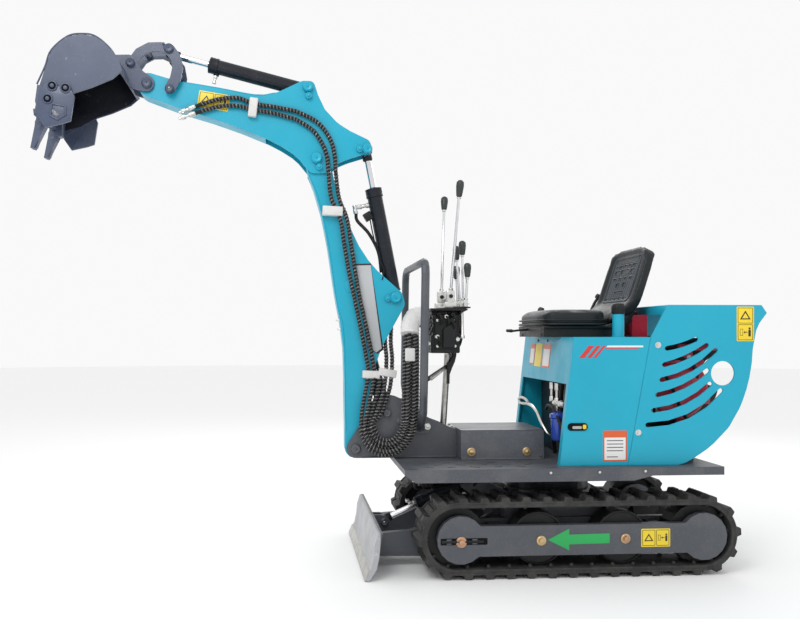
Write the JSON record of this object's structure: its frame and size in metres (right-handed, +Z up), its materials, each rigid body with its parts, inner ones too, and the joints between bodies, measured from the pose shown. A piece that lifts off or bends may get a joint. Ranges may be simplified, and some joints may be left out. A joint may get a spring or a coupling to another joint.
{
  "type": "mini excavator",
  "caption": "Compact tracked excavator: slewing house with seat and levers, boom, arm, bucket and a dozer blade, all jointed.",
  "frame": {"origin": "centre of the whole machine's box, on the ground", "axes": "+Z up; the front of the machine, with bucket and blade, is -X; its left side is -Y"},
  "size_m": [2.6672, 0.78, 1.9453],
  "materials": {
    "charcoal": "satin paint",
    "black": "satin paint",
    "rubber": "matte, moulded",
    "blade_gray": "satin paint, scuffed",
    "chrome": "polished",
    "steel_gray": "satin paint",
    "turquoise": "gloss paint",
    "red": "satin paint",
    "seat": "grained vinyl",
    "silver": "zinc plated"
  },
  "bodies": {
    "chassis": {"chassis_frame": "charcoal", "slew_ring": "black", "track_left": "rubber", "track_right": "rubber", "track_frame_left": "charcoal", "track_frame_right": "charcoal", "idler_left": "charcoal", "idler_right": "charcoal", "rollers_left": "charcoal", "rollers_right": "charcoal", "drive_left": "black", "drive_right": "black"},
    "blade": {"blade": "blade_gray"},
    "blade_cylinder_barrel": {"blade_cylinder_barrel": "black"},
    "blade_cylinder_rod": {"blade_cylinder_rod": "chrome"},
    "house": {"deck": "charcoal", "boom_bracket": "charcoal", "floor_box": "steel_gray", "console_side_left": "turquoise", "console_side_right": "turquoise", "console_front": "turquoise", "hood_side_left": "turquoise", "hood_side_right": "turquoise", "hood_top": "turquoise", "engine_block": "red", "fuel_tank": "red", "filler_neck": "turquoise", "seat_base": "black", "seat_cushion": "seat", "seat_backrest": "seat", "handrail": "charcoal", "valve_stand": "silver", "valve_block": "black", "control_levers": "silver", "hose_loop": "rubber"},
    "boom": {"boom": "turquoise", "boom_hoses": "rubber"},
    "arm": {"arm": "turquoise", "arm_hoses": "rubber", "elbow_hoses": "rubber"},
    "boom_cylinder_barrel": {"boom_cylinder_barrel": "black"},
    "boom_cylinder_rod": {"boom_cylinder_rod": "chrome"},
    "arm_cylinder_barrel": {"arm_cylinder_barrel": "black"},
    "arm_cylinder_rod": {"arm_cylinder_rod": "chrome"},
    "bucket_cylinder_barrel": {"bucket_cylinder_barrel": "black"},
    "bucket_cylinder_rod": {"bucket_cylinder_rod": "chrome"},
    "rocker": {"rocker": "steel_gray"},
    "bucket_link": {"bucket_link": "steel_gray"},
    "bucket": {"bucket": "steel_gray"}
  },
  "joints": [
    {"name": "swing", "type": "hinge", "parent": "chassis", "child": "house", "pos_m": [0.616, 0, 0.335], "axis": [0, 0, 1], "continuous": true},
    {"name": "boom_lift", "type": "hinge", "parent": "house", "child": "boom", "pos_m": [-0.142, 0, 0.417], "axis": [0, 1, 0], "range_deg": [-90, 3], "deforming": ["hose_loop"]},
    {"name": "arm_reach", "type": "hinge", "parent": "boom", "child": "arm", "pos_m": [-0.291, 0, 1.52], "axis": [0, 1, 0], "range_deg": [-80, 20], "deforming": ["elbow_hoses"]},
    {"name": "bucket_open", "type": "hinge", "parent": "arm", "child": "bucket", "pos_m": [-0.924, 0, 1.788], "axis": [0, 1, 0], "range_deg": [-100, 35]},
    {"name": "blade_lift", "type": "hinge", "parent": "chassis", "child": "blade", "pos_m": [0.316, 0, 0.105], "axis": [0, 1, 0], "range_deg": [-12, 22]},
    {"name": "boom_cylinder_turn", "type": "hinge", "parent": "house", "child": "boom_cylinder_barrel", "pos_m": [-0.024, 0, 0.552], "axis": [0, 1, 0], "range_deg": [-89.02, 3.45]},
    {"name": "boom_cylinder_slide", "type": "slide", "parent": "boom_cylinder_barrel", "child": "boom_cylinder_rod", "axis": [-0.2716, 0, 0.9624], "range_m": [-0.0107, 0.2635]},
    {"name": "arm_cylinder_turn", "type": "hinge", "parent": "boom", "child": "arm_cylinder_barrel", "pos_m": [0.012, 0, 0.991], "axis": [0, 1, 0], "range_deg": [-10.07, 2.89]},
    {"name": "arm_cylinder_slide", "type": "slide", "parent": "arm_cylinder_barrel", "child": "arm_cylinder_rod", "axis": [-0.1908, 0, 0.9816], "range_m": [-0.0585, 0.228]},
    {"name": "blade_cylinder_turn", "type": "hinge", "parent": "chassis", "child": "blade_cylinder_barrel", "pos_m": [0.286, 0, 0.275], "axis": [0, 1, 0], "range_deg": [-11.48, 20.63]},
    {"name": "blade_cylinder_slide", "type": "slide", "parent": "blade_cylinder_barrel", "child": "blade_cylinder_rod", "axis": [-0.9131, 0, -0.4077], "range_m": [-0.0671, 0.0375]},
    {"name": "bucket_cylinder_turn", "type": "hinge", "parent": "arm", "child": "bucket_cylinder_barrel", "pos_m": [-0.325, 0, 1.787], "axis": [0, 1, 0], "range_deg": [-7.22, 2.85]},
    {"name": "bucket_cylinder_slide", "type": "slide", "parent": "bucket_cylinder_barrel", "child": "bucket_cylinder_rod", "axis": [-0.971, 0, 0.239], "range_m": [-0.0426, 0.1179]},
    {"name": "rocker_turn", "type": "hinge", "parent": "arm", "child": "rocker", "pos_m": [-0.838, 0, 1.764], "axis": [0, 1, 0], "range_deg": [-53.33, 18.99]},
    {"name": "bucket_link_turn", "type": "hinge", "parent": "rocker", "child": "bucket_link", "pos_m": [-0.841, 0, 1.914], "axis": [0, 1, 0], "range_deg": [-1.12, 2.28]}
  ],
  "couplings": [
    {"joint": "boom_cylinder_turn", "follows": "boom_lift", "ratio": 0.98355},
    {"joint": "boom_cylinder_slide", "follows": "boom_lift", "m_per_rad": -0.1665},
    {"joint": "arm_cylinder_turn", "follows": "arm_reach", "ratio": 0.11966},
    {"joint": "arm_cylinder_slide", "follows": "arm_reach", "m_per_rad": -0.16184},
    {"joint": "blade_cylinder_turn", "follows": "blade_lift", "ratio": 0.91506},
    {"joint": "blade_cylinder_slide", "follows": "blade_lift", "m_per_rad": -0.16942},
    {"joint": "bucket_cylinder_turn", "follows": "bucket_open", "ratio": 0.06722},
    {"joint": "bucket_cylinder_slide", "follows": "bucket_open", "m_per_rad": -0.06642},
    {"joint": "rocker_turn", "follows": "bucket_open", "ratio": 0.52832},
    {"joint": "bucket_link_turn", "follows": "bucket_open", "ratio": -0.01777}
  ]
}
